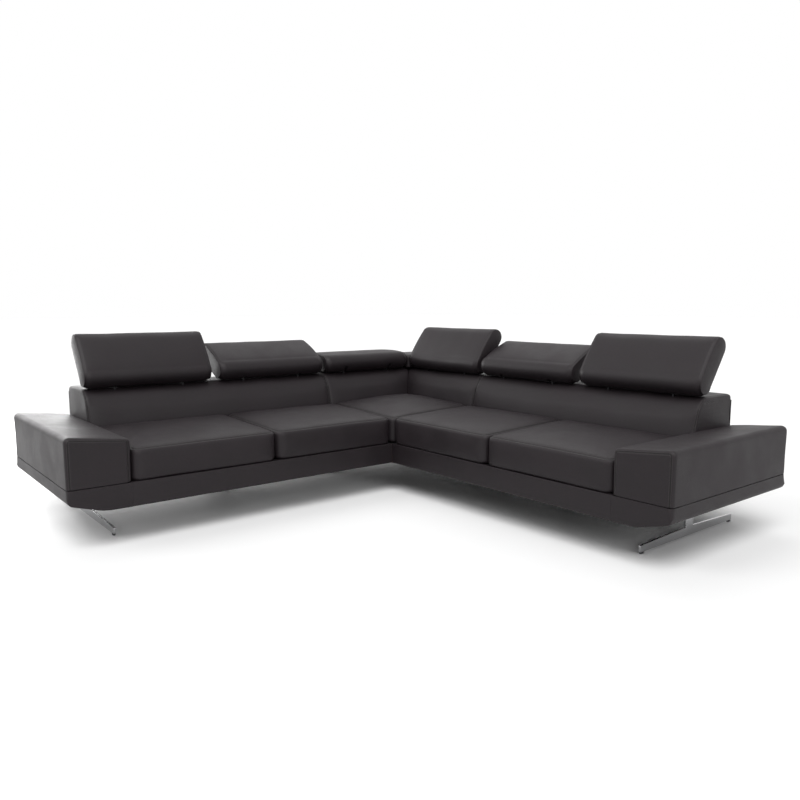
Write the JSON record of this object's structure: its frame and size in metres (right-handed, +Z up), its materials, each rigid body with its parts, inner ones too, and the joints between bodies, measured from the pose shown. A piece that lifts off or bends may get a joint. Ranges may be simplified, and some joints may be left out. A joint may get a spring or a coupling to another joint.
{
  "type": "corner sofa",
  "caption": "L-shaped leather corner sofa with low slab arms, steel skid legs and headrests that tilt on friction hinges.",
  "frame": {"origin": "centre of the bounding box's footprint, on the floor", "axes": "+X along the right wing away from the corner, +Y towards the right wing's back, +Z up; the left wing runs from the corner towards -Y and its back is on the -X side"},
  "size_m": [2.7228, 2.7, 0.9057],
  "materials": {
    "leather": "fine-grained satin leather",
    "frame_wood": "sawn and planed",
    "webbing": "woven elastic",
    "dust_cloth": "felted cloth",
    "polished_steel": "satin polished",
    "black_plastic": "matt",
    "zinc_steel": "zinc plated",
    "hinge_steel": "black lacquer"
  },
  "bodies": {
    "sofa_frame": {"arm_band_left": "leather", "arm_band_right": "leather", "arm_frame_left": "frame_wood", "arm_frame_right": "frame_wood", "arm_pad_left": "leather", "arm_pad_right": "leather", "back_cushion_left": "leather", "back_cushion_right": "leather", "back_frame_corner": "frame_wood", "back_frame_left": "frame_wood", "back_frame_right": "frame_wood", "base_frame_corner": "frame_wood", "base_frame_left": "frame_wood", "base_frame_right": "frame_wood", "corner_back_cushion_left": "leather", "corner_back_cushion_right": "leather", "corner_post_cushion": "leather", "dust_covers": "dust_cloth", "foot_bolts": "zinc_steel", "frame_bolts": "zinc_steel", "headrest_hinge_bases": "hinge_steel", "headrest_hinge_pins": "hinge_steel", "plinth_cover_left": "leather", "plinth_cover_right": "leather", "rear_panel_corner": "leather", "rear_panel_left": "leather", "rear_panel_right": "leather", "seat_cushion_corner": "leather", "seat_cushion_inner_left": "leather", "seat_cushion_inner_right": "leather", "seat_cushion_outer_left": "leather", "seat_cushion_outer_right": "leather", "skid_glides": "black_plastic", "skid_leg_left": "polished_steel", "skid_leg_right": "polished_steel", "skid_screws": "zinc_steel", "support_feet": "black_plastic", "webbing_corner": "webbing", "webbing_left": "webbing", "webbing_right": "webbing"},
    "headrest_left_outer": {"headrest_cushion_left_outer": "leather", "headrest_board_left_outer": "frame_wood", "headrest_arms_left_outer": "hinge_steel"},
    "headrest_left_inner": {"headrest_cushion_left_inner": "leather", "headrest_board_left_inner": "frame_wood", "headrest_arms_left_inner": "hinge_steel"},
    "headrest_corner_left": {"headrest_cushion_corner_left": "leather", "headrest_board_corner_left": "frame_wood", "headrest_arms_corner_left": "hinge_steel"},
    "headrest_corner_right": {"headrest_cushion_corner_right": "leather", "headrest_board_corner_right": "frame_wood", "headrest_arms_corner_right": "hinge_steel"},
    "headrest_right_inner": {"headrest_cushion_right_inner": "leather", "headrest_board_right_inner": "frame_wood", "headrest_arms_right_inner": "hinge_steel"},
    "headrest_right_outer": {"headrest_cushion_right_outer": "leather", "headrest_board_right_outer": "frame_wood", "headrest_arms_right_outer": "hinge_steel"}
  },
  "joints": [
    {"name": "headrest_left_outer_tilt", "type": "hinge", "parent": "sofa_frame", "child": "headrest_left_outer", "pos_m": [-1.1015, -0.723, 0.684], "axis": [0, -1, 0], "range_deg": [0, 55]},
    {"name": "headrest_left_inner_tilt", "type": "hinge", "parent": "sofa_frame", "child": "headrest_left_inner", "pos_m": [-1.1015, 0.019, 0.684], "axis": [0, -1, 0], "range_deg": [-27.5, 27.5]},
    {"name": "headrest_corner_left_tilt", "type": "hinge", "parent": "sofa_frame", "child": "headrest_corner_left", "pos_m": [-1.1015, 0.7235, 0.684], "axis": [0, -1, 0], "range_deg": [-55, 0]},
    {"name": "headrest_corner_right_tilt", "type": "hinge", "parent": "sofa_frame", "child": "headrest_corner_right", "pos_m": [-0.712, 1.113, 0.684], "axis": [-1, 0, 0], "range_deg": [0, 55]},
    {"name": "headrest_right_inner_tilt", "type": "hinge", "parent": "sofa_frame", "child": "headrest_right_inner", "pos_m": [-0.0075, 1.113, 0.684], "axis": [-1, 0, 0], "range_deg": [-27.5, 27.5]},
    {"name": "headrest_right_outer_tilt", "type": "hinge", "parent": "sofa_frame", "child": "headrest_right_outer", "pos_m": [0.7345, 1.113, 0.684], "axis": [-1, 0, 0], "range_deg": [0, 55]}
  ]
}
